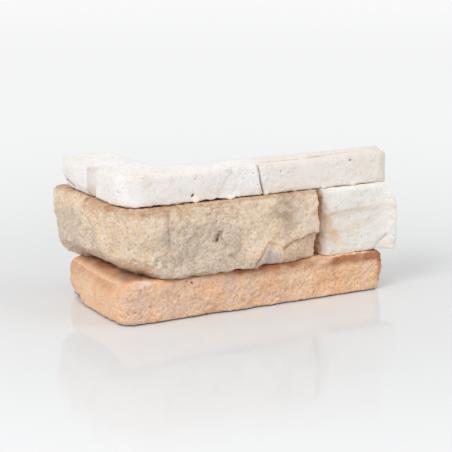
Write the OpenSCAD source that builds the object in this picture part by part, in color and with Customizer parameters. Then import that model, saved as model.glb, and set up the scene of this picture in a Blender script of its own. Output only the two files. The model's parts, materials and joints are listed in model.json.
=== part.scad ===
// Corner cladding for a wall: three cast corner stones laid in courses.
// Each stone is an L in plan. The long leg runs along X, the short leg turns back along Y,
// and the flat inner faces go against the corner of a wall.
// The outer face of every stone is one closed skin, worked out by functions from the sizes below.
// Units are millimetres, Z is up, and the red brick corner stands on Z = 0.

/* [Legs shared by the stones] */
// Length of the long leg of the red brick corner
long_leg = 294; // [200:1:420]
// Length of the short leg of the red brick corner
short_leg = 142; // [110:1:240]
// Thickness of the long leg of the red brick corner
long_thickness = 47; // [36:1:80]
// Thickness of the short leg of the red brick corner
short_thickness = 58; // [40:1:90]
// Radius of the rounded inside corner
inner_radius = 14; // [4:1:26]
// Spacing of the points along the outer face
skin_step = 3.6; // [3:0.2:8]

/* [Red brick corner] */
// Height of the red brick course
red_height = 40; // [30:1:70]
// Radius of the outer corner of the red brick
red_corner = 15; // [8:1:34]
// Radius of the worn edges of the red brick
red_edge = 5; // [2:0.5:9]
// How far the short leg of the red brick tapers in at its end
red_taper = 8; // [0:0.5:14]
// How far the foot of the right end is drawn in
red_heel = 9; // [0:0.5:14]
// Depth of the worn waves of the red brick face
red_relief = 1.6; // [0:0.1:3]

/* [Split stone corner] */
// Height of the split stone course
stone_height = 68; // [50:1:110]
// How far the split face stands in front of the red brick
stone_proud = 4; // [0:0.5:12]
// How far the long leg runs past the red brick
stone_overrun = 16; // [0:1:60]
// How far the short leg runs past the red brick
stone_back_run = 19; // [0:1:40]
// Radius of the broad corner of the split stone
stone_corner = 44; // [20:1:56]
// How far the lower edge of the short leg is cut under
stone_undercut = 30; // [4:0.5:34]
// Depth of the lumps of the split face
stone_relief = 3.2; // [0:0.1:5]
// Distance of the upright joint from the left side of the red brick
stone_joint_x = 221; // [150:1:300]
// Width of the upright joint
stone_joint_width = 7; // [3:0.5:14]
// Depth of the upright joint
stone_joint_depth = 13; // [4:0.5:20]
// How far the top of the split face leans back
lean_back = 5; // [0:0.5:10]
// How far the pale block lies behind the split face
block_setback = 8; // [0:0.5:16]
// Depth of the slanting valley down the short leg
valley_depth = 7; // [0:0.5:12]
// How far the valley runs towards the corner on its way down
valley_run = 72; // [20:1:100]
// Height of the ridge beside the valley
ridge_height = 3; // [0:0.5:8]
// Depth of the chipped hollow below the ledge
ledge_depth = 11; // [0:0.5:14]
// Depth of the three-sided chip at the lower edge
chip_depth = 8; // [0:0.5:12]

/* [White brick corner] */
// Height of the white brick course
white_height = 31.5; // [24:0.5:60]
// How far the white face lies behind the front of the red brick
white_setback = 11; // [0:0.5:20]
// How far the white short leg lies in from the red brick
white_inset = 4; // [0:0.5:20]
// How far the long leg runs past the red brick
white_overrun = 20; // [0:1:40]
// How far the short leg runs past the red brick
white_back_run = 6; // [0:1:40]
// How far the right end slants back towards the front
white_slant = 14; // [0:0.5:16]
// Radius of the rounded corner of the white brick
white_corner = 26; // [12:1:40]
// Radius of the soft edges of the white brick
white_edge = 5; // [2:0.5:9]
// Distance of the fine joint from the left side of the red brick
white_joint_x = 157; // [100:1:260]
// Width of the fine joint
white_joint_width = 4; // [2:0.5:8]
// Depth of the fine joint
white_joint_depth = 2.5; // [0.5:0.1:5]
// How far the corner brick lies in from the header brick
corner_setback = 5; // [0:0.5:8]
// Length of the header brick along the short leg
header_length = 65; // [40:1:100]
// Width of the joint beside the header brick
header_joint_width = 7; // [3:0.5:10]
// Depth of the joint beside the header brick
header_joint_depth = 4; // [1:0.5:8]
// Height of the receding foot of the header brick
header_foot_height = 15; // [6:0.5:22]
// How far the foot of the header brick recedes
header_foot_depth = 6; // [0:0.5:9]

/* [Hidden] */

// Allowance by which each skin passes its flat inner faces and beds before it is trimmed
pass = 3 + 0.4 * inner_radius;
bed_pass = 1.2;
// Radius of the upright edges at the ends of the legs
end_radius = 9;

stone_z = red_height;
white_z = red_height + stone_height;

// Plan of a stone: left x, front y, right x, end y, corner radius
red_plan = [0, 0, long_leg, short_leg, red_corner];
stone_plan = [0, -stone_proud, long_leg + stone_overrun, short_leg + stone_back_run, stone_corner];
white_plan = [white_inset, white_setback, long_leg + white_overrun, short_leg + white_back_run,
  white_corner];

// Lengths of the straight runs and arcs of a plan, from the end of the short leg round to the right end
function end_run(p) = short_thickness + pass - p[0] - end_radius;
function end_arc() = end_radius * PI / 2;
function left_run(p) = p[3] - end_radius - p[1] - p[4];
function corner_arc(p) = p[4] * PI / 2;
function front_run(p) = p[2] - end_radius - p[0] - p[4];
function right_run(p) = long_thickness + pass - p[1] - end_radius;
function run_to_left(p) = end_run(p) + end_arc();
function run_to_corner(p) = run_to_left(p) + left_run(p);
function run_to_front(p) = run_to_corner(p) + corner_arc(p);
function run_to_right(p) = run_to_front(p) + front_run(p);
function run_total(p) = run_to_right(p) + end_arc() + right_run(p);

// Distance along the face of a point of the short leg, given its y, or of the front, given its x
function at_left(p, y) = run_to_left(p) + p[3] - end_radius - y;
function at_front(p, x) = run_to_front(p) + x - p[0] - p[4];

// Point of a plan at distance s along the face, set in by d. The rounded corners shrink as they are set in,
// and the points beside them close up so that the face never folds over.
least_radius = 1.5;
function over(d, r) = max(0, d + least_radius - r);
function fade(u) = max(0, 1 - u / 40);
function turn(cx, cy, r, a) = [cx + r * cos(a), cy + r * sin(a)];
function along(p, s, d) =
  let (re = max(least_radius, end_radius - d), rc = max(least_radius, p[4] - d),
    oe = over(d, end_radius), oc = over(d, p[4]),
    x0 = p[0] + d, y0 = p[1] + d, x1 = p[2] - d, y1 = p[3] - d)
  s < end_run(p) ? [short_thickness + pass - s + oe * fade(end_run(p) - s), y1]
  : s < run_to_left(p) ? turn(x0 + re, y1 - re, re, 90 + 90 * (s - end_run(p)) / end_arc())
  : s < run_to_corner(p) ? [x0, p[3] - end_radius - (s - run_to_left(p))
    - oe * fade(s - run_to_left(p)) + oc * fade(run_to_corner(p) - s)]
  : s < run_to_front(p) ? turn(x0 + rc, y0 + rc, rc, 180 + 90 * (s - run_to_corner(p)) / corner_arc(p))
  : s < run_to_right(p) ? [p[0] + p[4] + (s - run_to_front(p))
    + oc * fade(s - run_to_front(p)) - oe * fade(run_to_right(p) - s), y0]
  : s < run_to_right(p) + end_arc() ? turn(x1 - re, y0 + re, re, 270 + 90 * (s - run_to_right(p)) / end_arc())
  : let (u = s - run_to_right(p) - end_arc()) [x1, p[1] + end_radius + u + oe * fade(u)];

// Smooth helpers
function ease(t) = t <= 0 ? 0 : t >= 1 ? 1 : t * t * (3 - 2 * t);
function mix(a, b, t) = a + (b - a) * t;
function bell(d, width) = exp(-(d / width) * (d / width));
function round_in(d, r) = d >= r || r <= 0 ? 0 : r - sqrt(max(0, r * r - (r - max(0, d)) * (r - max(0, d))));

// Smooth lumps: random heights on a lattice of cells, blended between the cells
lumps_wide = 64;
lumps_high = 24;
function lattice(seed) = rands(-1, 1, lumps_wide * lumps_high, seed);
function cell(table, i, j) = table[(i % lumps_wide) + lumps_wide * (j % lumps_high)];
function lump(table, u, v) =
  let (i = floor(u), j = floor(v), a = ease(u - i), b = ease(v - j))
  mix(mix(cell(table, i, j), cell(table, i + 1, j), a),
    mix(cell(table, i, j + 1), cell(table, i + 1, j + 1), a), b);
function lumps(table, s, z, size) =
  0.65 * lump(table, s / size + 3, z / size + 2) + 0.35 * lump(table, 2.3 * s / size + 7, 2.3 * z / size + 5);

// Values between breaks, no further apart than a step
function spread(breaks, step) = [
  for (k = [0:len(breaks) - 2])
    let (gap = breaks[k + 1] - breaks[k], n = max(1, ceil(gap / step - 0.01)))
      for (i = [0:n - 1]) breaks[k] + gap * i / n,
  breaks[len(breaks) - 1]];

// Points of a skin, level by level. Each level ends with the point inside the corner of the legs.
function skin(p, stations, levels, depths) = [
  for (k = [0:len(levels) - 1]) each concat(
    [for (i = [0:len(stations) - 1])
      concat(along(p, stations[i], depths[k][i]), [levels[k]])],
    [[short_thickness + pass, long_thickness + pass, levels[k]]])];

// Faces of a skin with n points on each of m levels
function skin_faces(n, m) = concat(
  [[for (i = [0:n - 1]) (n - 1 + i) % n]],
  [[for (i = [0:n - 1]) (m - 1) * n + (2 * n - 1 - i) % n]],
  [for (k = [0:m - 2]) for (i = [0:n - 1])
    let (j = (i + 1) % n) [k * n + i, (k + 1) * n + i, (k + 1) * n + j]],
  [for (k = [0:m - 2]) for (i = [0:n - 1])
    let (j = (i + 1) % n) [k * n + i, (k + 1) * n + j, k * n + j]]);

// Levels of a course, closer together where the edges are rounded. The first and last lie past the beds.
function course_levels(height, edge, step) = concat([-bed_pass],
  spread([0.14 * edge, 0.45 * edge, edge, height - edge, height - 0.45 * edge, height - 0.14 * edge], step),
  [height + bed_pass]);

// Stations along a plan, with a strip on each inner face so that the trim never meets a point
function plan_stations(p, extra) = spread(concat(
  [0, pass - 1.5, pass + 1.5, run_to_left(p)], extra,
  [run_to_right(p), run_total(p) - pass - 1.5, run_total(p) - pass + 1.5, run_total(p)]), skin_step);

// Red brick corner: worn edges, a taper along the short leg and a drawn-in heel at the right end
red_lumps = lattice(11);
red_stations = plan_stations(red_plan, [run_to_corner(red_plan), run_to_front(red_plan)]);
red_levels = course_levels(red_height, red_edge, 5);
function red_wear(s) = red_edge * (1 + 0.35 * lump(red_lumps, s / 19 + 5, 1.5)
  + 0.5 * bell(s - run_to_corner(red_plan) - corner_arc(red_plan) / 2, 26));
function red_depth(s, z) =
  let (wear = red_wear(s), past = s - run_to_right(red_plan))
  round_in(red_height - z, wear * 1.15) + round_in(z, wear * 0.6)
  + red_taper * ease(1 - abs(s - end_run(red_plan) - 0.5 * end_arc()) / (0.5 * left_run(red_plan)))
    * mix(1, 0.35, z / red_height)
  + red_heel * ease(past / end_arc()) * pow(max(0, 1 - z / (red_height * 0.6)), 1.6)
  + red_relief * lumps(red_lumps, s, z, 17);
red_points = skin(red_plan, red_stations, red_levels,
  [for (z = red_levels) [for (s = red_stations) red_depth(s, z)]]);

// Split stone corner: a broad corner, a slanting valley and a ridge on the short leg, an upright joint,
// a chipped ledge before it and a pale block set back behind it
stone_lumps = lattice(23);
joint_at = at_front(stone_plan, min(stone_joint_x, stone_plan[2] - 5 * stone_joint_width - 30));
stone_stations = plan_stations(stone_plan, [run_to_corner(stone_plan), run_to_front(stone_plan),
  joint_at - stone_joint_width, joint_at - stone_joint_width / 2, joint_at, joint_at + stone_joint_width / 2,
  joint_at + stone_joint_width]);
stone_edge = 5;
stone_levels = course_levels(stone_height, stone_edge, 4.8);
valley_at = at_left(stone_plan, 0.63 * stone_plan[3]);
function stone_block(s) = ease((s - joint_at) / (stone_joint_width / 2));
function stone_under(s, z) =
  let (back = 1 - ease((s - run_to_corner(stone_plan) - 0.55 * corner_arc(stone_plan))
    / (0.6 * corner_arc(stone_plan))))
  let (deep = mix(2.5, stone_undercut, back) * mix(0.6, 1, ease((s - run_to_left(stone_plan)) / 34)),
    tall = mix(5, 20, back))
  deep * pow(max(0, 1 - z / tall), 1.2);
function valley_centre(z) = valley_at
  + min(valley_run, left_run(stone_plan)) * pow(max(0, 1 - z / stone_height), 1.3);
function stone_valley(s, z) =
  let (d = s - valley_centre(z)) valley_depth * bell(d, d < 0 ? 24 : 13) * ease(z / 18);
function stone_ridge(s, z) = ridge_height * bell(s - valley_centre(z) - 18, 10) * ease(z / 18);
function stone_ledge(s, z) =
  let (x = s - joint_at, top = stone_height * (0.41 + 0.0026 * x))
  ledge_depth * mix(0.25, 1, ease((x + 46) / 46)) * ease((x + 50) / 6) * (1 - stone_block(s))
  * ease((top - z) / 3) * mix(0.75, 1, ease((top - z) / 20));
function stone_chip(s, z) =
  let (x = s - joint_at + 64, rise = stone_height * 0.35 * (1 - abs(x) / 18))
  chip_depth * ease((rise - z) / 20) * ease(rise / 6);
function stone_top_edge(s) = s < end_run(stone_plan) + end_arc() ? 3 : mix(4, 9, bell(s - valley_at, 26));
function stone_depth(s, z) =
  let (block = stone_block(s), split = 1 - block, past = ease((s - run_to_right(stone_plan) + 8) / 14),
    end = 1 - ease((s - run_to_left(stone_plan)) / 20))
  round_in(stone_height - z, mix(stone_top_edge(s), 24, past))
  + 3.5 * end * ease((0.65 * stone_height - z) / 26)
  + stone_under(s, z) * mix(1, 0.3, block)
  + split * stone_valley(s, z) - split * stone_ridge(s, z) + stone_ledge(s, z) + split * stone_chip(s, z)
  + lean_back * (z / stone_height) * split * ease((s - run_to_front(stone_plan)) / 40)
  + block * (1 - past) * (block_setback + 1.5 * ease((stone_height * 0.64 - z) / 3))
  + stone_joint_depth * bell(s - joint_at, stone_joint_width * 0.5)
  + 2 * bell(s - run_to_front(stone_plan) - 6, 3) * ease((z - 0.38 * stone_height) / 8)
  + mix(stone_relief, 0.4 * stone_relief, block) * lumps(stone_lumps, s, z, 14);
stone_points = skin(stone_plan, stone_stations, stone_levels,
  [for (z = stone_levels) [for (s = stone_stations) stone_depth(s, z)]]);

// White brick corner: a set-back header brick on the short leg, a rounded corner brick and a fine joint
white_lumps = lattice(37);
header_at = at_left(white_plan, white_plan[3] - header_length);
fine_at = at_front(white_plan, min(white_joint_x, white_plan[2] - 5 * white_joint_width - 20));
white_stations = plan_stations(white_plan, [header_at, header_at + header_joint_width * 0.3,
  header_at + header_joint_width * 0.7, header_at + header_joint_width, run_to_corner(white_plan),
  run_to_front(white_plan), fine_at - white_joint_width, fine_at - white_joint_width / 2, fine_at,
  fine_at + white_joint_width / 2, fine_at + white_joint_width]);
white_levels = course_levels(white_height, white_edge, 4);
function white_header(s) = 1 - ease((s - header_at) / (0.3 * header_joint_width));
function white_groove(s) = bell(s - header_at - 0.5 * header_joint_width, 0.42 * header_joint_width);
function white_foot(s, z) = header_foot_depth * white_header(s)
  * pow(max(0, 1 - z / (header_foot_height - 0.12 * max(0, s - run_to_left(white_plan)))), 1.3);
function white_end(s) = white_slant * ease((s - run_to_right(white_plan) + 10) / (end_arc() + 10))
  * max(0, 1 - max(0, s - run_to_right(white_plan) - end_arc()) / (right_run(white_plan) - pass));
function white_depth(s, z) =
  let (past = ease((s - run_to_right(white_plan) + 4) / 12),
    bend = bell(s - run_to_corner(white_plan), 22))
  round_in(white_height - z, white_edge * (0.9 + 0.3 * lump(white_lumps, s / 23, 2.5) + 0.6 * bend + 0.4 * past))
  + round_in(z, white_edge * (0.5 + 0.5 * past))
  + corner_setback * (1 - white_header(s))
    * (1 - ease((s - run_to_corner(white_plan)) / corner_arc(white_plan)))
  + header_joint_depth * white_groove(s) + white_foot(s, z) + white_end(s)
  + white_joint_depth * bell(s - fine_at, white_joint_width * 0.45)
  + 0.8 * ease((s - fine_at) / 4)
  - 1.2 * bell(s - fine_at + white_joint_width, 2.5)
  + 0.9 * lumps(white_lumps, s, z, 21);
white_points = skin(white_plan, white_stations, white_levels,
  [for (z = white_levels) [for (s = white_stations) white_depth(s, z)]]);

// The stack is centred on its own outline
all_points = concat(red_points, stone_points, white_points);
x_values = [for (q = all_points) q[0]];
y_values = [for (q = all_points) q[1]];
centre = [(min(x_values) + max(x_values)) / 2, (min(y_values) + max(y_values)) / 2, 0];

// The room of a course: flat beds, and flat inner faces that meet in a rounded corner
module course_room(height) {
  far = 2 * (long_leg + short_leg);
  rounded = [for (a = [270:-15:180]) [short_thickness + inner_radius * (1 + cos(a)),
    long_thickness + inner_radius * (1 + sin(a))]];
  linear_extrude(height = height)
    polygon(concat([[-far, -far], [far, -far], [far, long_thickness]], rounded, [[short_thickness, far],
      [-far, far]]));
}

// A stone: its skin, trimmed to the room of its course
module stone(points, stations, levels, height) {
  intersection() {
    polyhedron(points = points, faces = skin_faces(len(stations) + 1, len(levels)), convexity = 8);
    course_room(height);
  }
}

module red_brick_corner() {
  color([0.72, 0.50, 0.37]) translate(-centre) stone(red_points, red_stations, red_levels, red_height);
}

module split_stone_corner() {
  color([0.74, 0.69, 0.60]) translate([0, 0, stone_z] - centre)
    stone(stone_points, stone_stations, stone_levels, stone_height);
}

module white_brick_corner() {
  color([0.90, 0.88, 0.84]) translate([0, 0, white_z] - centre)
    stone(white_points, white_stations, white_levels, white_height);
}

red_brick_corner();
split_stone_corner();
white_brick_corner();
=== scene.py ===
# Looks of the corner stone cladding. Each stone starts from its CAD solid, is cut into a fine mesh,
# and gets its relief in code: worn waves, split facets, grain, pits, joints and crumbs.
import math

import bpy
import numpy as np
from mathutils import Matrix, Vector
from mathutils.kdtree import KDTree
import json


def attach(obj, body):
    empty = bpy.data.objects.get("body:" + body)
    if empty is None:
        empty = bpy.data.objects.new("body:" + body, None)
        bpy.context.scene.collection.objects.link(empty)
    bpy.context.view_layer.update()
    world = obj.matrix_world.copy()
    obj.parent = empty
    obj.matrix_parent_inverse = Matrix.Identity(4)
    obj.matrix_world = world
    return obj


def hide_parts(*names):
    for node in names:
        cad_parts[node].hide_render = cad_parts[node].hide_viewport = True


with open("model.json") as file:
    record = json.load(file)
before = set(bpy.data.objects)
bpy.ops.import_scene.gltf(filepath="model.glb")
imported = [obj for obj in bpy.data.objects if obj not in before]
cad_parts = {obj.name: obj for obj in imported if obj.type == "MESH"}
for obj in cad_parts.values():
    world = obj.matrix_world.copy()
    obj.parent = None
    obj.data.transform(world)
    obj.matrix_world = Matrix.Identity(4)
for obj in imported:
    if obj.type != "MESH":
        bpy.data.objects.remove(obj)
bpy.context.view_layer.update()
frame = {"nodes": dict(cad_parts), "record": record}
MM = 0.001

# Plan origin of the stones: the outer corner of the red brick, found from the flat inner faces
MOUNTS = {m["name"]: m["pos_m"] for m in frame["record"]["mounts"]}
PLAN_X = MOUNTS["short_leg_back"][0] - 0.058
PLAN_Y = MOUNTS["long_leg_back"][1] - 0.047
INNER_X = MOUNTS["short_leg_back"][0]
INNER_Y = MOUNTS["long_leg_back"][1]


def plan(x, y, z):
    """A point in millimetres from the outer corner of the red brick, as metres in the row frame."""
    return (PLAN_X + x * MM, PLAN_Y + y * MM, z * MM)


# Noise on arrays of points

def hash_angles(i, j, k, seed):
    """Repeatable random gradients for lattice points."""
    with np.errstate(over="ignore"):
        h = (i * 73856093) ^ (j * 19349663) ^ (k * 83492791) ^ (seed * 2654435761)
        h = (h ^ (h >> 13)) * 1274126177
        h = h ^ (h >> 16)
    a = (h & 0xFFFF) / 65536.0 * 2 * math.pi
    z = ((h >> 16) & 0xFFFF) / 32768.0 - 1
    r = np.sqrt(np.maximum(0, 1 - z * z))
    return np.stack([r * np.cos(a), r * np.sin(a), z], axis=-1)


def noise(p, size, seed):
    """Gradient noise from about -1 to 1, with lumps of the given size."""
    q = p / size + 100.0
    base = np.floor(q).astype(np.int64)
    f = q - base
    w = f * f * f * (f * (f * 6 - 15) + 10)
    total = np.zeros(len(p))
    for dx in (0, 1):
        for dy in (0, 1):
            for dz in (0, 1):
                g = hash_angles(base[:, 0] + dx, base[:, 1] + dy, base[:, 2] + dz, seed)
                d = f - np.array([dx, dy, dz])
                weight = (w[:, 0] if dx else 1 - w[:, 0]) * (w[:, 1] if dy else 1 - w[:, 1])
                weight = weight * (w[:, 2] if dz else 1 - w[:, 2])
                total += weight * np.einsum("ij,ij->i", g, d)
    return total * 1.6


def layers(p, size, count, seed, gain=0.5):
    """Several sizes of noise, each half the one before."""
    total = np.zeros(len(p))
    for k in range(count):
        total += noise(p, size / 2 ** k, seed + 17 * k) * gain ** k
    return total


def facets(p, size, seed, sharpness=1.0):
    """Flat broken facets: the height of the nearest of a set of random tilted planes."""
    q = p / size + 50.0
    base = np.floor(q).astype(np.int64)
    best = np.full(len(p), 1e9)
    value = np.zeros(len(p))
    for dx in (-1, 0, 1):
        for dy in (-1, 0, 1):
            for dz in (-1, 0, 1):
                i, j, k = base[:, 0] + dx, base[:, 1] + dy, base[:, 2] + dz
                g = hash_angles(i, j, k, seed)
                h = hash_angles(i, j, k, seed + 5)
                centre = np.stack([i, j, k], axis=-1) + 0.5 + 0.42 * g
                away = q - centre
                d = np.einsum("ij,ij->i", away, away)
                near = d < best
                best[near] = d[near]
                value[near] = (h[:, 2] * 0.6 + np.einsum("ij,ij->i", away, h) * sharpness)[near]
    return value


def step(t):
    """Smooth step from 0 to 1."""
    t = np.clip(t, 0, 1)
    return t * t * (3 - 2 * t)


def bell(d, width):
    return np.exp(-(d / width) ** 2)


# Fine meshes

def fine_copy(node, name, voxel):
    """A fine, even mesh of a CAD solid, as a new object."""
    source = frame["nodes"][node]
    piece = bpy.data.objects.new(name, source.data.copy())
    piece.matrix_world = source.matrix_world.copy()
    bpy.context.scene.collection.objects.link(piece)
    remesh = piece.modifiers.new("fine", "REMESH")
    remesh.mode = "VOXEL"
    remesh.voxel_size = voxel
    remesh.use_smooth_shade = True
    graph = bpy.context.evaluated_depsgraph_get()
    mesh = bpy.data.meshes.new_from_object(piece.evaluated_get(graph))
    piece.modifiers.clear()
    piece.data = mesh
    mesh.materials.clear()
    return piece


class Surface:
    """Arrays of a mesh's points, with smoothing and normals."""

    def __init__(self, piece):
        self.mesh = piece.data
        n = len(self.mesh.vertices)
        self.p = np.empty(n * 3)
        self.mesh.vertices.foreach_get("co", self.p)
        self.p = self.p.reshape(-1, 3)
        edges = np.empty(len(self.mesh.edges) * 2, dtype=np.int32)
        self.mesh.edges.foreach_get("vertices", edges)
        self.a, self.b = edges.reshape(-1, 2).T
        self.degree = np.bincount(np.concatenate([self.a, self.b]), minlength=n)

    def average(self, values):
        """The mean of each point's neighbours."""
        n = len(self.degree)
        out = np.empty_like(values)
        columns = values.reshape(n, -1)
        result = out.reshape(n, -1)
        for c in range(columns.shape[1]):
            v = columns[:, c]
            total = np.bincount(self.a, weights=v[self.b], minlength=n)
            total += np.bincount(self.b, weights=v[self.a], minlength=n)
            result[:, c] = total / np.maximum(1, self.degree)
        return out

    def smooth(self, values, times):
        for _ in range(times):
            values = 0.5 * values + 0.5 * self.average(values)
        return values

    def store(self):
        self.mesh.vertices.foreach_set("co", self.p.ravel())
        self.mesh.update()

    def normals(self):
        self.store()
        n = np.empty(len(self.p) * 3)
        self.mesh.vertex_normals.foreach_get("vector", n)
        return n.reshape(-1, 3)

    def attribute(self, name, values):
        layer = self.mesh.attributes.new(name, "FLOAT", "POINT")
        layer.data.foreach_set("value", np.ascontiguousarray(values, dtype=np.float32))


def pit_field(surface, centres, radii, weights):
    """How deep each point lies in small round pits, from 0 to 1."""
    tree = KDTree(len(surface.p))
    for i, q in enumerate(surface.p):
        tree.insert(q, i)
    tree.balance()
    field = np.zeros(len(surface.p))
    for c, r, weight in zip(centres, radii, weights):
        near = np.array([i for _, i, _ in tree.find_range(Vector(c), r * 1.5)], dtype=int)
        if len(near) == 0:
            continue
        d = surface.p[near] - np.asarray(c)
        depth = step(1.35 - np.linalg.norm(d, axis=1) / r) * weight
        field[near] = np.maximum(field[near], depth)
    return field


def snap_to_surface(surface, points, front=True):
    """Moves listed points straight back or sideways on to the outer face."""
    out = []
    for x, y, z, axis in points:
        target = np.array(plan(x, y, z))
        across = [k for k in range(3) if k != axis]
        d = np.linalg.norm(surface.p[:, across] - target[across], axis=1)
        near = np.where(d < 0.0022)[0]
        if len(near) == 0:
            continue
        best = near[np.argmin(surface.p[near, axis])] if axis < 2 else near[np.argmax(surface.p[near, axis])]
        out.append(surface.p[best])
    return out


def outer_mask(p):
    """1 on the outer faces, 0 on the flat inner faces and their edges."""
    behind_x = step((INNER_X - p[:, 0]) / 0.004)
    behind_y = step((INNER_Y - p[:, 1]) / 0.004)
    return np.maximum(behind_x * (p[:, 1] > INNER_Y - 0.002), behind_y)


def bed_mask(normals):
    """1 away from level beds, 0 on them."""
    return 1 - step((np.abs(normals[:, 2]) - 0.75) / 0.2)


def hollows(surface, normals, times):
    """Positive in hollows and negative on ridges, in metres, at a scale set by the smoothing."""
    smooth = surface.smooth(surface.p, times)
    return np.einsum("ij,ij->i", smooth - surface.p, normals)


def stroke(u, v, line, width):
    """Soft mask of a bent stroke through the points of line, on a face with coordinates u and v."""
    best = np.zeros(len(u))
    for (ax, ay), (bx, by) in zip(line, line[1:]):
        dx, dy = bx - ax, by - ay
        t = np.clip(((u - ax) * dx + (v - ay) * dy) / (dx * dx + dy * dy), 0, 1)
        best = np.maximum(best, bell(np.hypot(u - ax - t * dx, v - ay - t * dy), width))
    return best


def between(value, low, high, soft):
    """1 between low and high, with soft ends."""
    return step((value - low) / soft + 0.5) * step((high - value) / soft + 0.5)


def open_gap(surface, bed, height, outer):
    """Raises the foot of a stone off its bed along the outer faces, by a height in millimetres."""
    surface.p[:, 2] = np.maximum(surface.p[:, 2], (bed + height * outer) * MM)


def scatter_pits(surface, listed, sizes, count, small, large, seed):
    """Listed pits, placed on the faces that they lie on, and smaller ones at random."""
    centres = snap_to_surface(surface, listed)
    radii = [r * MM for r in sizes][:len(centres)]
    weights = [1.0] * len(centres)
    random = np.random.default_rng(seed)
    for i in random.choice(len(surface.p), count, replace=False):
        centres.append(surface.p[i])
        radii.append(small + (large - small) * random.random() ** 3)
        weights.append(0.25 + 0.6 * random.random() ** 2)
    return pit_field(surface, centres, radii, weights)


# The stones

# How far the shoulder of the red brick's short leg is worn back, in millimetres
SHOULDER = 14.0


def quality(fine):
    return fine


def millimetres(surface):
    """The points of a surface in millimetres from the outer corner of the red brick."""
    return ((surface.p - np.array([PLAN_X, PLAN_Y, 0])) / MM).T


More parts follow.
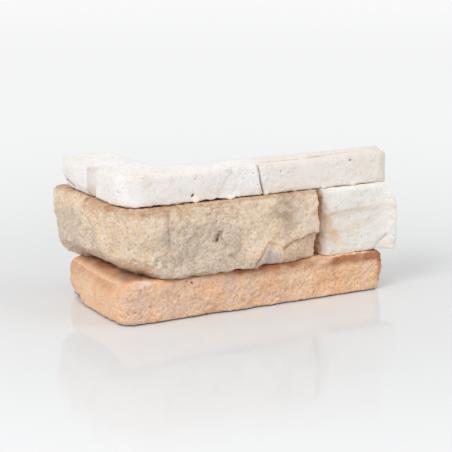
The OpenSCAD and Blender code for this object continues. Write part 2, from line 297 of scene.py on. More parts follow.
def make_white():
    piece = fine_copy("white_brick_corner", "white_brick_corner_surface", quality(0.00105))
    s = Surface(piece)
    s.p = s.smooth(s.p, 2)
    outer = outer_mask(s.p)
    x, y, z = millimetres(s)
    # the fine joint leans to the left on its way up
    s.p[:, 0] -= 0.0052 * np.clip((z - 110) / 28, 0, 1) * bell(x - 157, 9) * step((40 - y) / 10)
    # the back of the right end stands out a little at the top
    s.p[:, 0] += 4.5 * MM * step((x - 284) / 9) * step((z - 126) / 9) * step((y - 20) / 14)
    x, y, z = millimetres(s)
    n = s.normals()
    side = bed_mask(n) * outer
    front = step((-n[:, 1] - 0.4) / 0.3)
    left = step((-n[:, 0] - 0.4) / 0.3)
    top = step((n[:, 2] - 0.5) / 0.3)
    move = noise(s.p, 0.03, 3) * 0.00035 * (0.35 + 0.65 * side) + noise(s.p, 0.012, 4) * 0.0002
    rough = np.clip(0.5 + noise(s.p, 0.03, 8), 0.15, 1)
    move += layers(s.p, 0.0055, 3, 7, 0.85) * 0.00042 * rough * (0.5 + 0.5 * outer) - 0.0003
    # a shallow crease on the front of the corner brick
    crease = x - (109 + (z - 119) * 0.62)
    move -= 0.0009 * step(crease / 4) * step((13 - crease) / 12) * front * (x < 150)
    # the crack at the end of the header brick, and dents on the arris of the corner brick
    crack = stroke(y, z, [(143, 117.5), (132, 115.8), (121, 113)], 1.3) * left
    dents = (stroke(x, y, [(38, 9), (33, 14)], 2) + stroke(x, y, [(52, 23), (48, 30)], 2)) * top
    dents += stroke(x, y, [(66, 71), (64, 77)], 2.2) * top
    move -= 0.0014 * crack + 0.0009 * dents
    joint = stroke(x, z, [(151.8, 140), (153.8, 125.4), (158.4, 108)], 0.7) * front
    move -= 0.0008 * joint
    listed = [(79.1, 12, 116.5, 1), (80.2, 12, 117.9, 1), (81.8, 12, 129.1, 1), (85.1, 12, 134.5, 1),
              (125, 12, 132.8, 1), (133.8, 12, 127.2, 1), (143.8, 12, 130.7, 1), (148.3, 12, 119, 1),
              (177.4, 12, 131.6, 1), (187.7, 12, 128.2, 1), (258.1, 12, 135.0, 1), (259.4, 12, 135.6, 1),
              (10, 27, 121.4, 0)]
    sizes = [1.9, 1.7, 1.1, 0.8, 0.8, 0.9, 0.9, 1.0, 1.2, 1.0, 1.7, 1.5, 1.2]
    pits = scatter_pits(s, listed, sizes, 260, 0.4 * MM, 0.9 * MM, 5)
    move -= pits * 0.0013
    s.p += n * move[:, None]
    # burrs and crumbs of cast material on the lower edge
    n = s.normals()
    foot = bell(z - 109.2, 1.8) * outer
    burr = np.maximum(0, noise(s.p, 0.008, 21) - 0.35) * 0.005
    for place, size, height in ((83, 2.4, 1.6), (84.5, 1.4, 1.4), (121, 3.2, 2.6), (124, 2, 1.4),
                                (161, 2.6, 1.5), (228, 3, 1.6), (262, 4, 1.8)):
        burr = np.maximum(burr, 1.4 * height * MM * bell(x - place, size) * front)
    s.p += n * (burr * foot)[:, None]
    ragged = 0.35 + 1.3 * np.maximum(0, noise(s.p, 0.011, 22) + 0.25) + 0.7 * np.maximum(0, noise(s.p, 0.004, 23))
    ragged *= 1 - 0.75 * step((x - 160) / 8) * (y < 40) * (0.7 + 0.6 * (noise(s.p, 0.012, 28) < 0.1))
    ragged *= 1 + 0.9 * between(x, 20, 135, 20) * (y < 40)
    ragged *= 1 - np.clip(burr / 0.0015, 0, 1) * bell(z - 108.5, 1.5)
    open_gap(s, 108, ragged, outer)
    n = s.normals()
    # painted shade in the joint groove of the header, strongest at its foot, at its top and along its edges
    groove_shade = between(y, 75.5, 85, 2.5) * step((30 - x) / 6) * side
    s.attribute("pits", pits)
    s.attribute("hollow", np.clip(hollows(s, n, 5) / 0.00035, -1, 1))
    s.attribute("broad", np.clip(hollows(s, n, 60) / 0.0012, -1, 1))
    rims = bell(y - 77, 1.1) + bell(y - 84, 1.1) + 0.8 * bell(y - 80.5, 0.9)
    depth = 0.12 + 0.4 * step((124 - z) / 8) + 0.45 * bell(z - 136, 2.5) + 0.3 * rims
    s.attribute("groove_shade", np.clip(groove_shade * depth * (0.9 + 0.5 * noise(s.p, 0.006, 27)), 0, 1))
    s.attribute("crack", np.clip(crack + 0.75 * joint * (0.75 + 0.25 * step((135 - z) / 10)), 0, 1))
    arris = stroke(x, y, [(157, 17.5), (180, 16.8), (200, 17)], 0.9) * step((z - 136) / 2)
    arris += stroke(x, y, [(206, 18), (222, 21.5), (262, 26.5)], 0.9) * step((z - 136) / 2)
    arris += 0.5 * dents + 0.45 * bell(x - 224, 8) * bell(y - 20, 6) * top
    s.attribute("arris", np.clip(arris * (0.8 + 0.8 * noise(s.p, 0.006, 24)), 0, 1))
    warm = step((x - 155) / 8) * (y < 50)
    end = step((x - 289) / 8) * (0.75 + 0.5 * noise(s.p, 0.008, 25)) * (y < 60)
    s.attribute("warm", np.clip(0.5 * warm + 0.5 * np.clip(end, 0, 1), 0, 1))
    # painted shade: the lowest edge of the white brick, over the gap, is painted dark
    foot = step((109.3 + 0.5 * noise(s.p, 0.006, 26) - z) / 0.8) * outer
    foot *= 1 - step((x - 214) / 6) * step((y < 60) * (0.62 - 1.3 * noise(s.p, 0.012, 28)))
    s.attribute("foot", foot)
    finish_piece(piece, s, "white_brick_corner", white_material())
    return piece


def fold_line(z):
    """How far back the fold down the short leg lies, at a height."""
    return 101 - 72 * np.clip(1 - (z - 40) / 68, 0, 1) ** 1.3


def make_split():
    piece = fine_copy("split_stone_corner", "split_stone_corner_surface", quality(0.0013))
    s = Surface(piece)
    s.p = s.smooth(s.p, 4)
    x, y, z = millimetres(s)
    block = step((x - 221) / 4) * (y < 60)
    foot_end = step((y - 104) / 30) * step((66 - z) / 20) * step((40 - x) / 24)
    s.p[:, 0] -= 7.5 * MM * foot_end
    x, y, z = millimetres(s)
    calm = s.smooth(s.p, 14)
    blend = (0.75 * (1 - block) * between(z, 50, 98, 8) * (1 - bell(x - 221, 22))
             * (1 - bell(y - fold_line(z), 9) * (x < 40)))
    s.p += (calm - s.p) * blend[:, None]
    n = s.normals()
    outer = outer_mask(s.p)
    side = bed_mask(n) * outer
    front = step((-n[:, 1] - 0.3) / 0.3)
    left = step((45 - x) / 20) * step((y - 22) / 16)
    rough = 1 - 0.7 * block
    warped = s.p + 0.005 * np.stack([noise(s.p, 0.02, 31), noise(s.p, 0.02, 32), noise(s.p, 0.02, 33)], axis=-1)
    break_up = facets(warped * np.array([1, 1, 0.8]), 0.016, 41, 0.8) * 0.0005
    break_up += facets(warped, 0.0062, 43, 0.8) * 0.00028
    waves = noise(s.p, 0.03, 45) * 0.001 + noise(s.p, 0.010, 46) * 0.00055
    grain = layers(s.p, 0.0060, 3, 47, 0.95) * 0.0007
    shape = between(x, 138, 216, 8) * step((72 - z) / 6) * (y < 30)
    grain *= 1 - 0.45 * shape
    move = (break_up + waves) * rough * side + grain * (0.4 + 0.6 * outer) * (1 - 0.4 * block) - 0.0008 * side
    facet = step((24 * (1 - np.abs(x - 157) / 18) + 40 - z) / 4) * (np.abs(x - 157) < 19) * front
    move += 0.0013 * facet * step((172 - x) / 12)
    under_ledge = stroke(x, z, [(173, 56), (191, 62), (212, 65)], 2.0) * front
    move -= 0.0016 * under_ledge
    # the ragged right edge of the ochre stone
    edge = bell(x - 217.5, 5) * (y < 22)
    s.p[:, 0] += edge * (2.2 * noise(s.p * np.array([0.2, 0.2, 1]), 0.009, 87)
                         + 1.6 * noise(s.p * np.array([0.2, 0.2, 1]), 0.0045, 88)) * MM
    # ribs at the far end of the short leg, and the uprights near the fold
    move += 0.0012 * stroke(y, z, [(157, 106), (156, 80)], 2) * left * side
    move -= 0.0015 * stroke(y, z, [(151.5, 105), (150.5, 80)], 1.6) * left * side
    move += 0.0012 * stroke(y, z, [(112, 105), (111, 94)], 3) * left * side
    # chips near the foot of the broad corner
    for a, b, depth in (((16, 60), (19, 55), 2.2), ((33, 64), (30, 56), -1.8), ((37, 62), (34, 55), 1.8),
                        ((27, 55), (33, 50), 1.4)):
        move -= depth * MM * stroke(x, z, [a, b], 1.8) * front * (y < 30)
    listed = [(102.0, -2, 79.0, 1), (101.2, -2, 77.0, 1), (100.0, -2, 75.0, 1), (98.8, -2, 73.2, 1),
              (239.4, 8, 89.9, 1), (292.3, 8, 98.9, 1), (302.4, 8, 91.7, 1), (278.3, 8, 72.5, 1),
              (269, 8, 53.9, 1), (304.7, 8, 54.1, 1), (302.4, 8, 47, 1), (33.5, 0, 93.8, 1),
              (96.6, 0, 98.5, 1), (63.6, 0, 89.6, 1), (12, 128, 77.6, 0), (12, 131, 66.9, 0), (12, 131.3, 105, 0)]
    sizes = [1.5, 1.7, 1.7, 1.5, 1.1, 1.2, 1.0, 1.0, 1.2, 1.2, 1.0, 1.1, 1.2, 1.0, 1.2, 1.1, 1.1]
    pits = scatter_pits(s, listed, sizes, 420, 0.4 * MM, 1.1 * MM, 9)
    move -= pits * 0.0011
    # a crease and a rough end on the pale block
    crease = (x - 286.5) - (z - 42.6) * 0.95
    move -= 0.0014 * block * side * bell(crease, 1.3) * step((58 - z) / 4)
    move += 0.0010 * step((x - 296) / 8) * side * noise(s.p, 0.007, 48)
    s.p += n * move[:, None]
    ragged = 0.3 + 1.2 * np.maximum(0, noise(s.p, 0.014, 49) + 0.2) + 0.4 * np.maximum(0, noise(s.p, 0.005, 50))
    ragged *= 1 + 0.9 * between(x, 40, 135, 20) * (y < 40) + 2.2 * step((y - 122) / 14) * (x < 60)
    ragged *= 1 - 0.7 * between(x, 232, 262, 8) * (y < 40)
    open_gap(s, 40, ragged, outer)
    n = s.normals()
    s.attribute("pits", pits)
    s.attribute("block", block * outer)
    s.attribute("hollow", np.clip(hollows(s, n, 5) / 0.0005, -1, 1))
    s.attribute("broad", np.clip(hollows(s, n, 60) / 0.0018, -1, 1))
    # where the split face is grey and where it is ochre
    drift = 9 * np.stack([noise(s.p, 0.026, 81), noise(s.p, 0.026, 82)], axis=-1)
    drift += 4 * np.stack([noise(s.p, 0.009, 83), noise(s.p, 0.009, 84)], axis=-1)
    u, w = x + drift[:, 0], z + drift[:, 1]
    # past the fold the grey is partly the stone's own grey and partly painted shade of the face turned away past the
    # fold
    past_fold = step((y - fold_line(z)) / 12 + 0.4) * left
    lower_left = past_fold * step((93 - w) / 22 + 0.2)
    mid = between(u, 40, 130, 34) * step((108 - w) / 34) * (1 - left) * (0.8 + 0.3 * bell(u - 92, 26) * bell(w - 74, 16))
    foot = 0.8 * between(u, 4, 146, 24) * step((66 - w) / 24)
    streak = between(u, 166, 190, 16) * step((w - 62) / 24) * (0.8 + 0.3 * step((w - 88) / 12))
    spots = 0.5 * noise(s.p, 0.017, 51) + 0.42 * noise(s.p, 0.007, 52) + 0.3 * noise(s.p, 0.0035, 59)
    grey = np.maximum.reduce([lower_left, 1.1 * mid, foot, 0.8 * streak, 0.16 + 0 * u])
    grey += spots * (0.45 + 0.5 * grey)
    s.attribute("grey", np.clip(grey, 0, 1))
    s.attribute("streak", np.clip(streak * (0.6 + 1.1 * noise(s.p, 0.007, 53)), 0, 1))
    triangle = step((23.5 * (1 - np.abs(x - 157) / 17.5) + 40 - z) / 2.5) * (np.abs(x - 157) < 18)
    slate = triangle * side * (0.95 + 0.4 * noise(s.p, 0.008, 54))
    slate = np.maximum(slate, 0.8 * stroke(x, z, [(35.5, 66), (32, 57)], 2.4) * front)
    cream = np.maximum(0.6 * between(u, 128, 162, 20) * step((w - 55) / 20), between(u, 186, 214, 12) * step((w - 64) / 12))
    cream = np.maximum(cream, 0.5 * between(u, 14, 44, 16) * step((w - 70) / 16) * (1 - left))
    s.attribute("cream", np.clip(cream * (0.7 + 0.8 * noise(s.p, 0.007, 89)), 0, 1))
    s.attribute("slate", np.clip(slate, 0, 1))
    # painted shade in the recess under the ledge, strongest just below it
    ledge = between(x, 172, 220, 6) * step((68.5 + 0.17 * (x - 221) - z) / 4)
    edge_line = stroke(x, z, [(140, 41), (149, 55), (156, 64)], 1.3) + 0.7 * stroke(x, z, [(157, 64), (175, 57)], 1.2)
    joint = bell(x - 221.5 - 1.2 * noise(s.p, 0.012, 85), 2.2) + 0.25 * bell(x - 225, 8)
    brown = np.maximum.reduce([np.clip(joint, 0, 1) * (1 - 0.5 * block) * (y < 40) * side,
                               0.3 * ledge * (0.4 + 0.6 * step((z - 55) / 10)),
                               0.5 * edge_line])
    # brown stain and painted shade along the top of the broad corner, and painted shade along the top edge under the
    # overhanging white brick
    top_stain_and_shade = step((z - 98 + 4 * noise(s.p, 0.010, 86)) / 11) * step((90 - x) / 40) * step((104 - y) / 24)
    under_white = np.maximum(0.75 * top_stain_and_shade, 0.5 * step((z - 105) / 2.5) * (x < 214)) * outer
    smudge = stroke(x, z, [(98.5, 73), (102.5, 79.5)], 2.4) + 0.6 * stroke(x, z, [(104, 76), (106, 80)], 1.6)
    smudge += 0.5 * stroke(x, z, [(47, 104), (46.5, 92), (48, 72)], 1.5) + 0.6 * stroke(x, z, [(141, 44), (150, 56)], 2)
    smudge += 0.9 * bell(x - 219.0 - 1.2 * noise(s.p, 0.012, 85), 1.4)
    s.attribute("smudge", np.clip(smudge * (front + bell(x - 219, 3)) * (y < 40) * (0.9 + 0.8 * noise(s.p, 0.004, 90)), 0, 1))
    # painted shadow under the ledge and painted shade under the white brick join the brown
    brown = np.maximum.reduce([brown, under_white, 0.7 * under_ledge * (x < 214)])
    s.attribute("brown", np.clip(brown * (0.95 + 0.6 * noise(s.p, 0.005, 57)), 0, 1))
    rim = step((43.5 - z) / 2.5) * (1 - block) * side
    s.attribute("rim", np.clip(rim * (0.8 + 0.6 * noise(s.p, 0.01, 58)), 0, 1))
    line = stroke(x, z, [(230, 82.5), (240, 84.5), (262, 84.8), (300, 88)], 1.6) * (1 - 0.7 * step((x - 262) / 20))
    stain = np.maximum(stroke(u, w, [(226, 84), (229, 66), (240, 54)], 9), 0.8 * stroke(u, w, [(224, 98), (224, 60)], 5))
    stain = np.maximum(stain, 0.45 * stroke(u, w, [(238, 70), (262, 74)], 9))
    tint = np.maximum(stain * (0.7 + 0.6 * layers(s.p, 0.014, 3, 55, 0.7)), 0.85 * line * (0.8 + 0.8 * noise(s.p, 0.01, 56)))
    tint *= 1 - step((52 - z) / 3) * step((236 - x) / 4)
    s.attribute("tint", np.clip(tint, 0, 1) * block)
    finish_piece(piece, s, "split_stone_corner", split_material())
    return piece


def make_red():
    piece = fine_copy("red_brick_corner", "red_brick_corner_surface", quality(0.00115))
    s = Surface(piece)
    s.p = s.smooth(s.p, 4)
    n = s.normals()
    outer = outer_mask(s.p)
    side = bed_mask(n) * outer
    x, y, z = millimetres(s)
    left = step((-n[:, 0] - 0.5) / 0.3)
    front = step((-n[:, 1] - 0.3) / 0.3)
    coarse = 1 - 0.6 * left
    waves = noise(s.p, 0.032, 61) * 0.0008 + noise(s.p, 0.013, 62) * 0.0006 * coarse
    rough = layers(s.p, 0.0060, 3, 63, 0.95) * 0.0008
    move = waves * (0.3 + 0.7 * side) + rough * coarse * (0.35 + 0.65 * outer) - 0.0004 * side
    # a scratch below the arris, dents at the foot of the corner and on the short leg
    move -= 0.0008 * stroke(x, z, [(4, 34), (16, 33.4), (30, 34)], 1.0) * front
    for place in ((-0.4, 16), (5.7, 11.3), (11.8, 13.4), (2, 9)):
        move -= 0.0012 * stroke(x, z, [place, (place[0] + 2, place[1] - 1)], 1.5) * (y < 25)
    move -= 0.0012 * stroke(y, z, [(76, 28), (72, 22)], 1.6) * left
    pits = scatter_pits(s, [(69.6, 0, 37.5, 1), (72.8, 0, 35.5, 1), (180, 0, 22, 1)], [1.6, 1.8, 1.2],
                        240, 0.4 * MM, 1.1 * MM, 13)
    move -= pits * 0.001
    s.p += n * move[:, None]
    # the worn shoulder of the short leg: its upper arris is gone, and the face leans in to the stone above
    x, y, z = millimetres(s)
    size = (SHOULDER + 2.0 * noise(s.p, 0.04, 73)) * between(y, 14, 150, 12)
    beyond = np.maximum(0, size - np.maximum(x, 0) - (40 - z)) * (x < 20) * (z > 20)
    s.p[:, 0] += beyond * 0.5 * MM
    s.p[:, 2] -= beyond * 0.5 * MM
    near = between(y, 10, 150, 12) * step((26 - x) / 6) * step((z - 16) / 8)
    s.p += (s.smooth(s.p, 40) - s.p) * near[:, None]
    # chips at the lower left end
    chip = step((y - 92) / 25) * step((13 + 4 * noise(s.p, 0.012, 67) - z) / 10) * step((24 - x) / 14)
    n = s.normals()
    s.p -= n * (chip * 0.003)[:, None]
    open_gap(s, 0, 0.75 + 0.5 * np.maximum(0, noise(s.p, 0.02, 70)), outer)
    n = s.normals()
    s.attribute("pits", pits)
    s.attribute("hollow", np.clip(hollows(s, n, 5) / 0.00045, -1, 1))
    s.attribute("broad", np.clip(hollows(s, n, 60) / 0.0014, -1, 1))
    high = step((z - 37) / 1.5)
    smear = np.maximum(stroke(x, y, [(17, 38), (24, 31)], 5) * high, stroke(x, y, [(19, 7), (28, 3)], 4.5) * high)
    smear *= step((0.75 + noise(s.p, 0.009, 75) - 0.35) / 0.4)
    smear = np.maximum(smear, 0.6 * bell(x - 15 - 1.5 * noise(s.p, 0.01, 76), 2.2) * high * between(y, 70, 118, 10) * step(0.4 + 1.4 * noise(s.p, 0.008, 78)))
    s.attribute("smear", np.clip(smear * (1.0 + 1.2 * noise(s.p, 0.006, 68)), 0, 1))
    band = step((x - 2) / 14 + 0.2 * noise(s.p, 0.03, 74)) * step((z - 24) / 9) * between(y, 12, 140, 14) * (x < 46)
    band = np.maximum(0.85 * band, 0.5 * step((z - 18) / 20) * left * between(y, 26, 150, 24))
    under = step((z - 27) / 12) * between(x, 112, 215, 24) * front
    corner = 1.25 * step((x - 226 + (40 - z) * 2.2) / 16) * step((z - 28) / 7) * front
    edge = step((x - 283) / 5) * 0.7 * step((z - 4) / 8) + step((x - 272) / 8) * step((z - 27) / 8)
    line = 0.6 * step((z - 37) / 2) * between(x, 45, 235, 20) * front
    line = np.maximum(line, 1.1 * step((z - 34 + 2.5 * noise(s.p, 0.014, 77)) / 4) * between(x, 116, 206, 22) * (y < 30))
    shade = np.maximum.reduce([band, 0.8 * under, corner, edge, line])
    s.attribute("shade", np.clip(shade * (0.85 + 0.35 * noise(s.p, 0.012, 69)), 0, 1))
    mottle = (0.5 + 0.9 * noise(s.p, 0.016, 71) + 0.6 * noise(s.p, 0.006, 72)) * (0.35 + 0.65 * front)
    s.attribute("mottle", np.clip(mottle * between(x, -5, 180, 60), 0, 1))
    # painted shade: the lowest edge on the floor is painted dark
    s.attribute("foot", step((1.6 - z) / 0.8) * outer)
    finish_piece(piece, s, "red_brick_corner", red_material())
    return piece


def finish_piece(piece, surface, node, material):
    surface.store()
    for polygon in piece.data.polygons:
        polygon.use_smooth = True
    piece.data.materials.append(material)
    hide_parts(node)
    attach(piece, "root")


# Materials

def display(r, g, b):
    """A colour as seen on screen, 0 to 255, as the linear value that the shaders use."""
    out = []
    for c in (r, g, b):
        c = c / 255
        out.append(c / 12.92 if c <= 0.04045 else ((c + 0.055) / 1.055) ** 2.4)
    return (*out, 1)


class Shader:
    """Builds a material's nodes with short calls."""

    def __init__(self, name):
        self.material = bpy.data.materials.new(name)
        self.material.use_nodes = True
        self.nodes = self.material.node_tree.nodes
        self.links = self.material.node_tree.links
        self.nodes.clear()
        self.output = self.nodes.new("ShaderNodeOutputMaterial")
        self.bsdf = self.nodes.new("ShaderNodeBsdfPrincipled")
        self.links.new(self.bsdf.outputs[0], self.output.inputs[0])
        self.place = self.nodes.new("ShaderNodeTexCoord").outputs["Object"]

    def put(self, socket, value):
        if isinstance(value, (int, float, tuple)):
            socket.default_value = value
        else:
            self.links.new(value, socket)

    def attribute(self, name):
        node = self.nodes.new("ShaderNodeAttribute")
        node.attribute_name = name
        return node.outputs["Fac"]

    def noise(self, size_mm, detail=3, roughness=0.55, shift=0):
        node = self.nodes.new("ShaderNodeTexNoise")
        node.inputs["Scale"].default_value = 1000 / size_mm
        node.inputs["Detail"].default_value = detail
        node.inputs["Roughness"].default_value = roughness
        if shift:
            move = self.nodes.new("ShaderNodeVectorMath")
            move.operation = "ADD"
            self.links.new(self.place, move.inputs[0])
            move.inputs[1].default_value = (shift, shift * 0.7, shift * 1.3)
            self.links.new(move.outputs[0], node.inputs["Vector"])
        else:
            self.links.new(self.place, node.inputs["Vector"])
        return node.outputs["Fac"]

    def ramp(self, value, low, high):
        """0 at low, 1 at high, smooth between."""
        node = self.nodes.new("ShaderNodeMapRange")
        node.interpolation_type = "SMOOTHSTEP"
        self.put(node.inputs["Value"], value)
        node.inputs["From Min"].default_value = low
        node.inputs["From Max"].default_value = high
        return node.outputs["Result"]

    def math(self, operation, a, b=0.0):
        node = self.nodes.new("ShaderNodeMath")
        node.operation = operation
        self.put(node.inputs[0], a)
        self.put(node.inputs[1], b)
        return node.outputs[0]

    def mix(self, a, b, factor):
        node = self.nodes.new("ShaderNodeMix")
        node.data_type = "RGBA"
        node.clamp_factor = True
        self.put(node.inputs[0], factor)
        self.put(node.inputs[6], a)
        self.put(node.inputs[7], b)
        return node.outputs[2]

    def tint(self, color, other, factor, strength=1.0):
        """Mixes in another colour by a mask, at a strength."""
        if strength != 1.0:
            factor = self.math("MULTIPLY", factor, strength)
        return self.mix(color, other, factor)

    def bump(self, height, distance, strength=1.0, under=None):
        node = self.nodes.new("ShaderNodeBump")
        node.inputs["Distance"].default_value = distance
        node.inputs["Strength"].default_value = strength
        self.links.new(height, node.inputs["Height"])
        if under is not None:
            self.links.new(under, node.inputs["Normal"])
        return node.outputs["Normal"]

    def finish(self, color, roughness, normal, specular=0.25):
        self.put(self.bsdf.inputs["Base Color"], color)
        self.put(self.bsdf.inputs["Roughness"], roughness)
        self.put(self.bsdf.inputs["Normal"], normal)
        self.bsdf.inputs["Specular IOR Level"].default_value = specular
        return self.material


# Painted shade: the dark line along the foot of a stone, where it sits on the floor or on the stone below
FOOT_SHADE = display(58, 42, 32)
# Painted shade: the dark inside the pits
PIT_SHADE = display(74, 56, 42)


def white_material():
    m = Shader("chalk_white_cast_stone")
    pits, hollow, broad = m.attribute("pits"), m.attribute("hollow"), m.attribute("broad")
    color = m.mix(display(252, 249, 248), display(247, 243, 239), m.ramp(m.noise(34, 4), 0.4, 0.66))
    color = m.tint(color, display(234, 224, 212), m.ramp(m.noise(9, 4, shift=3), 0.54, 0.74), 0.5)
    color = m.tint(color, display(238, 228, 214), m.attribute("warm"), 0.8)
    color = m.tint(color, display(226, 206, 182), m.ramp(m.math("MULTIPLY", broad, -1), 0.35, 1.0), 0.3)
    # painted shade in the hollows
    color = m.tint(color, display(214, 190, 164), m.ramp(hollow, 0.4, 1.0), 0.4)
    color = m.tint(color, display(216, 200, 184), m.ramp(m.noise(2.1, 3, 0.85, shift=9), 0.54, 0.7), 0.45)
    color = m.tint(color, display(216, 200, 184), m.ramp(m.noise(2.6, 3, 0.6, shift=12), 0.56, 0.72), 0.45)
    color = m.tint(color, display(226, 208, 188), m.ramp(m.noise(5.5, 4, 0.65, shift=20), 0.56, 0.7), 0.4)
    color = m.tint(color, display(206, 156, 96), m.attribute("arris"), 0.8)
    # painted shade in the header's joint groove
    color = m.tint(color, display(178, 150, 124), m.attribute("groove_shade"), 0.6)
    color = m.tint(color, display(120, 92, 66), m.attribute("crack"), 0.95)
    # painted shade in the pits
    color = m.tint(color, PIT_SHADE, m.ramp(pits, 0.5, 0.95), 0.85)
    # painted shade along the foot over the gap
    color = m.tint(color, FOOT_SHADE, m.attribute("foot"))
    grain = m.bump(m.noise(1.4, 5, 0.7), 0.0006, 0.7)
    return m.finish(color, 0.92, m.bump(m.noise(0.45, 2), 0.00016, 0.6, grain), 0.2)


def split_material():
    m = Shader("split_face_cast_stone")
    pits, hollow, broad = m.attribute("pits"), m.attribute("hollow"), m.attribute("broad")
    warm = m.mix(display(251, 226, 197), display(243, 211, 174), m.ramp(m.noise(15, 5), 0.4, 0.64))
    grey = m.mix(display(235, 216, 195), display(217, 196, 174), m.ramp(m.noise(9, 5, shift=2), 0.4, 0.64))
    color = m.mix(warm, grey, m.ramp(m.attribute("grey"), 0.2, 0.75))
    color = m.tint(color, display(242, 228, 210), m.ramp(m.noise(6, 4, 0.6, shift=4), 0.54, 0.72), 0.6)
    color = m.tint(color, display(168, 148, 128), m.ramp(m.noise(2.6, 4, 0.7, shift=6), 0.56, 0.72), 0.5)
    color = m.tint(color, display(246, 236, 222), m.ramp(m.noise(1.7, 3, 0.7, shift=11), 0.6, 0.74), 0.35)
    color = m.tint(color, display(150, 124, 98), m.ramp(m.noise(2.2, 3, 0.85, shift=15), 0.5, 0.66), 0.6)
    color = m.tint(color, display(255, 246, 232), m.ramp(m.noise(2.0, 3, 0.85, shift=16), 0.5, 0.66), 0.65)
    color = m.tint(color, display(182, 154, 126), m.attribute("streak"), 0.65)
    color = m.tint(color, display(248, 231, 212), m.attribute("cream"), 0.85)
    color = m.tint(color, display(226, 215, 206), m.attribute("slate"), 0.9)
    # painted highlight on the broad ridges
    color = m.tint(color, display(240, 226, 208), m.ramp(m.math("MULTIPLY", broad, -1), 0.25, 0.9), 0.35)
    color = m.tint(color, display(216, 168, 116), m.ramp(m.noise(7, 4, 0.65, shift=19), 0.54, 0.7), 0.4)
    # painted shade in the hollows
    color = m.tint(color, display(182, 146, 110), m.ramp(hollow, 0.3, 1.0), 0.45)
    # painted shade in the broad hollows
    color = m.tint(color, display(176, 134, 94), m.ramp(broad, 0.55, 1.0), 0.35)
    color = m.tint(color, display(206, 162, 112), m.attribute("rim"), 0.55)
    pale = m.mix(display(255, 252, 247), display(253, 246, 237), m.ramp(m.noise(14, 4, shift=8), 0.42, 0.64))
    pale = m.tint(pale, display(222, 204, 186), m.ramp(m.noise(2.4, 4, 0.85, shift=14), 0.54, 0.7), 0.3)
    pale = m.tint(pale, display(240, 204, 162), m.attribute("tint"), 0.8)
    # painted shade in the hollows of the pale block
    pale = m.tint(pale, display(214, 186, 158), m.ramp(hollow, 0.5, 1.0), 0.25)
    color = m.mix(color, pale, m.attribute("block"))
    # brown in the joint, with painted shade under the ledge and under the white brick
    color = m.tint(color, display(182, 122, 72), m.attribute("brown"), 0.85)
    color = m.tint(color, display(112, 92, 74), m.attribute("smudge"), 0.7)
    # painted shade in the pits
    color = m.tint(color, PIT_SHADE, m.ramp(pits, 0.55, 0.95), 0.85)
    grain = m.bump(m.noise(2.0, 6, 0.75), 0.0012, 0.8)
    return m.finish(color, 0.9, m.bump(m.noise(0.5, 2), 0.0002, 0.6, grain), 0.2)


def red_material():
    m = Shader("terracotta_brick")
    pits, hollow, broad = m.attribute("pits"), m.attribute("hollow"), m.attribute("broad")
    color = m.mix(display(255, 216, 180), display(252, 200, 154), m.ramp(m.noise(24, 5), 0.4, 0.64))
    color = m.tint(color, display(240, 212, 186), m.ramp(m.noise(10, 5, 0.65, shift=3), 0.5, 0.7), 0.7)
    color = m.tint(color, display(236, 172, 124), m.ramp(m.noise(13, 4, shift=7), 0.52, 0.72), 0.6)
    color = m.tint(color, display(232, 200, 182), m.attribute("mottle"), 0.75)
    color = m.tint(color, display(246, 226, 206), m.ramp(m.noise(3.0, 4, 0.7, shift=5), 0.58, 0.72), 0.5)
    color = m.tint(color, display(204, 152, 112), m.ramp(m.noise(2.4, 4, 0.7, shift=13), 0.6, 0.74), 0.4)
    color = m.tint(color, display(188, 126, 84), m.ramp(m.noise(2.2, 3, 0.85, shift=17), 0.5, 0.66), 0.45)
    color = m.tint(color, display(255, 232, 210), m.ramp(m.noise(2.0, 3, 0.85, shift=18), 0.5, 0.66), 0.5)
    color = m.tint(color, display(212, 150, 108), m.ramp(m.math("MULTIPLY", broad, -1), 0.4, 1.0), 0.2)
    # painted shade in the hollows
    color = m.tint(color, display(184, 124, 82), m.ramp(hollow, 0.35, 1.0), 0.45)
    color = m.tint(color, display(240, 222, 208), m.attribute("smear"))
    color = m.tint(color, display(158, 88, 42), m.attribute("shade"), 0.8)
    # painted shade in the pits
    color = m.tint(color, display(104, 64, 42), m.ramp(pits, 0.55, 0.95), 0.85)
    # painted shade along the foot on the floor
    color = m.tint(color, FOOT_SHADE, m.attribute("foot"))
    grain = m.bump(m.noise(1.8, 6, 0.75), 0.0011, 0.8)
    return m.finish(color, 0.9, m.bump(m.noise(0.5, 2), 0.0002, 0.6, grain), 0.2)


# Surroundings

def seen_directly(m):
    """1 for the rays that show a surface as a background or in a reflection, 0 for the light on others."""
    path = m.nodes.new("ShaderNodeLightPath")
    seen = m.math("MAXIMUM", path.outputs["Is Camera Ray"], path.outputs["Is Glossy Ray"])
    return m.math("MAXIMUM", seen, path.outputs["Is Transmission Ray"])


# The pale background: the light that the seen floor gains with distance, in doublings of the distance
NEAR_EDGE = 0.2
FAR_EDGE = 1.3
NEAR_GLOW = 0.05
FAR_GLOW = 0.215


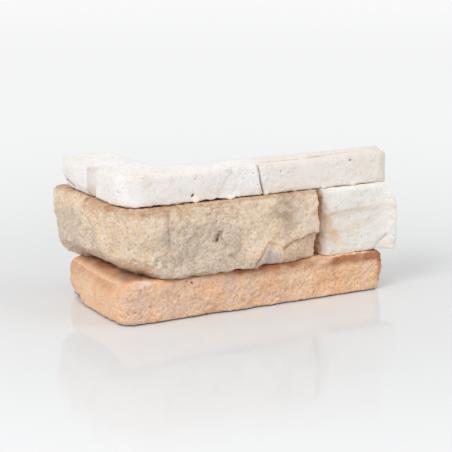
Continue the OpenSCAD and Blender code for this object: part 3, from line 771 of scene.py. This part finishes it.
def make_floor():
    mesh = bpy.data.meshes.new("floor")
    size = 14
    mesh.from_pydata([(-size, -size, 0), (size, -size, 0), (size, size, 0), (-size, size, 0)], [], [(0, 1, 2, 3)])
    floor = bpy.data.objects.new("floor", mesh)
    floor.location.z = -0.00005
    bpy.context.scene.collection.objects.link(floor)
    m = Shader("glossy_white_table")
    reach = m.nodes.new("ShaderNodeVectorMath")
    reach.operation = "LENGTH"
    m.links.new(m.place, reach.inputs[0])
    doublings = m.math("LOGARITHM", reach.outputs["Value"], 2.0)
    glow = m.nodes.new("ShaderNodeMapRange")
    glow.interpolation_type = "SMOOTHSTEP"
    m.put(glow.inputs["Value"], doublings)
    glow.inputs["From Min"].default_value = math.log2(NEAR_EDGE)
    glow.inputs["From Max"].default_value = math.log2(FAR_EDGE)
    glow.inputs["To Min"].default_value = NEAR_GLOW
    glow.inputs["To Max"].default_value = FAR_GLOW
    m.bsdf.inputs["Emission Color"].default_value = (1, 1, 1, 1)
    m.put(m.bsdf.inputs["Emission Strength"], m.math("MULTIPLY", glow.outputs["Result"], seen_directly(m)))
    floor.data.materials.append(m.finish(display(222, 223, 224), 0.08, m.bump(m.noise(400, 1), 0.0005, 0.05), 0.15))


def make_world():
    """A soft white room: its light on the stones is plainer than the white that is seen."""
    world = bpy.data.worlds.new("soft_white_room")
    bpy.context.scene.world = world
    world.use_nodes = True
    nodes, links = world.node_tree.nodes, world.node_tree.links
    light = nodes["Background"]
    light.inputs["Color"].default_value = (1, 1, 1, 1)
    light.inputs["Strength"].default_value = 0.62
    backdrop = nodes.new("ShaderNodeBackground")
    backdrop.inputs["Color"].default_value = display(242, 242, 242)
    path = nodes.new("ShaderNodeLightPath")
    shown = [path.outputs[name] for name in ("Is Camera Ray", "Is Glossy Ray", "Is Transmission Ray")]
    factor = shown[0]
    for other in shown[1:]:
        either = nodes.new("ShaderNodeMath")
        either.operation = "MAXIMUM"
        links.new(factor, either.inputs[0])
        links.new(other, either.inputs[1])
        factor = either.outputs[0]
    mix = nodes.new("ShaderNodeMixShader")
    links.new(factor, mix.inputs[0])
    links.new(light.outputs[0], mix.inputs[1])
    links.new(backdrop.outputs[0], mix.inputs[2])
    links.new(mix.outputs[0], nodes["World Output"].inputs["Surface"])


def make_light():
    for name, place, size, power in (("key", (-1.9, -0.9, 1.8), 1.4, 34), ("fill", (1.5, -1.5, 1.3), 1.6, 12)):
        data = bpy.data.lights.new(name, "AREA")
        data.shape = "DISK"
        data.size = size
        data.energy = power
        light = bpy.data.objects.new(name, data)
        light.location = place
        light.rotation_euler = (Vector((0, 0, 0.07)) - Vector(place)).to_track_quat("-Z", "Y").to_euler()
        bpy.context.scene.collection.objects.link(light)


def make_camera():
    turn, tilt = math.radians(29.38), math.radians(12.49)
    data = bpy.data.cameras.new("camera")
    data.sensor_width = 36
    data.lens = 117.2
    camera = bpy.data.objects.new("camera", data)
    camera.location = plan(-557.7, -1185.0, 386.5)
    ahead = Vector((math.sin(turn) * math.cos(tilt), math.cos(turn) * math.cos(tilt), -math.sin(tilt)))
    camera.rotation_euler = ahead.to_track_quat("-Z", "Y").to_euler()
    bpy.context.scene.collection.objects.link(camera)
    bpy.context.scene.camera = camera


bpy.context.scene.view_settings.view_transform = "Standard"
make_camera()
make_white()
make_split()
make_red()
make_floor()
make_world()
make_light()
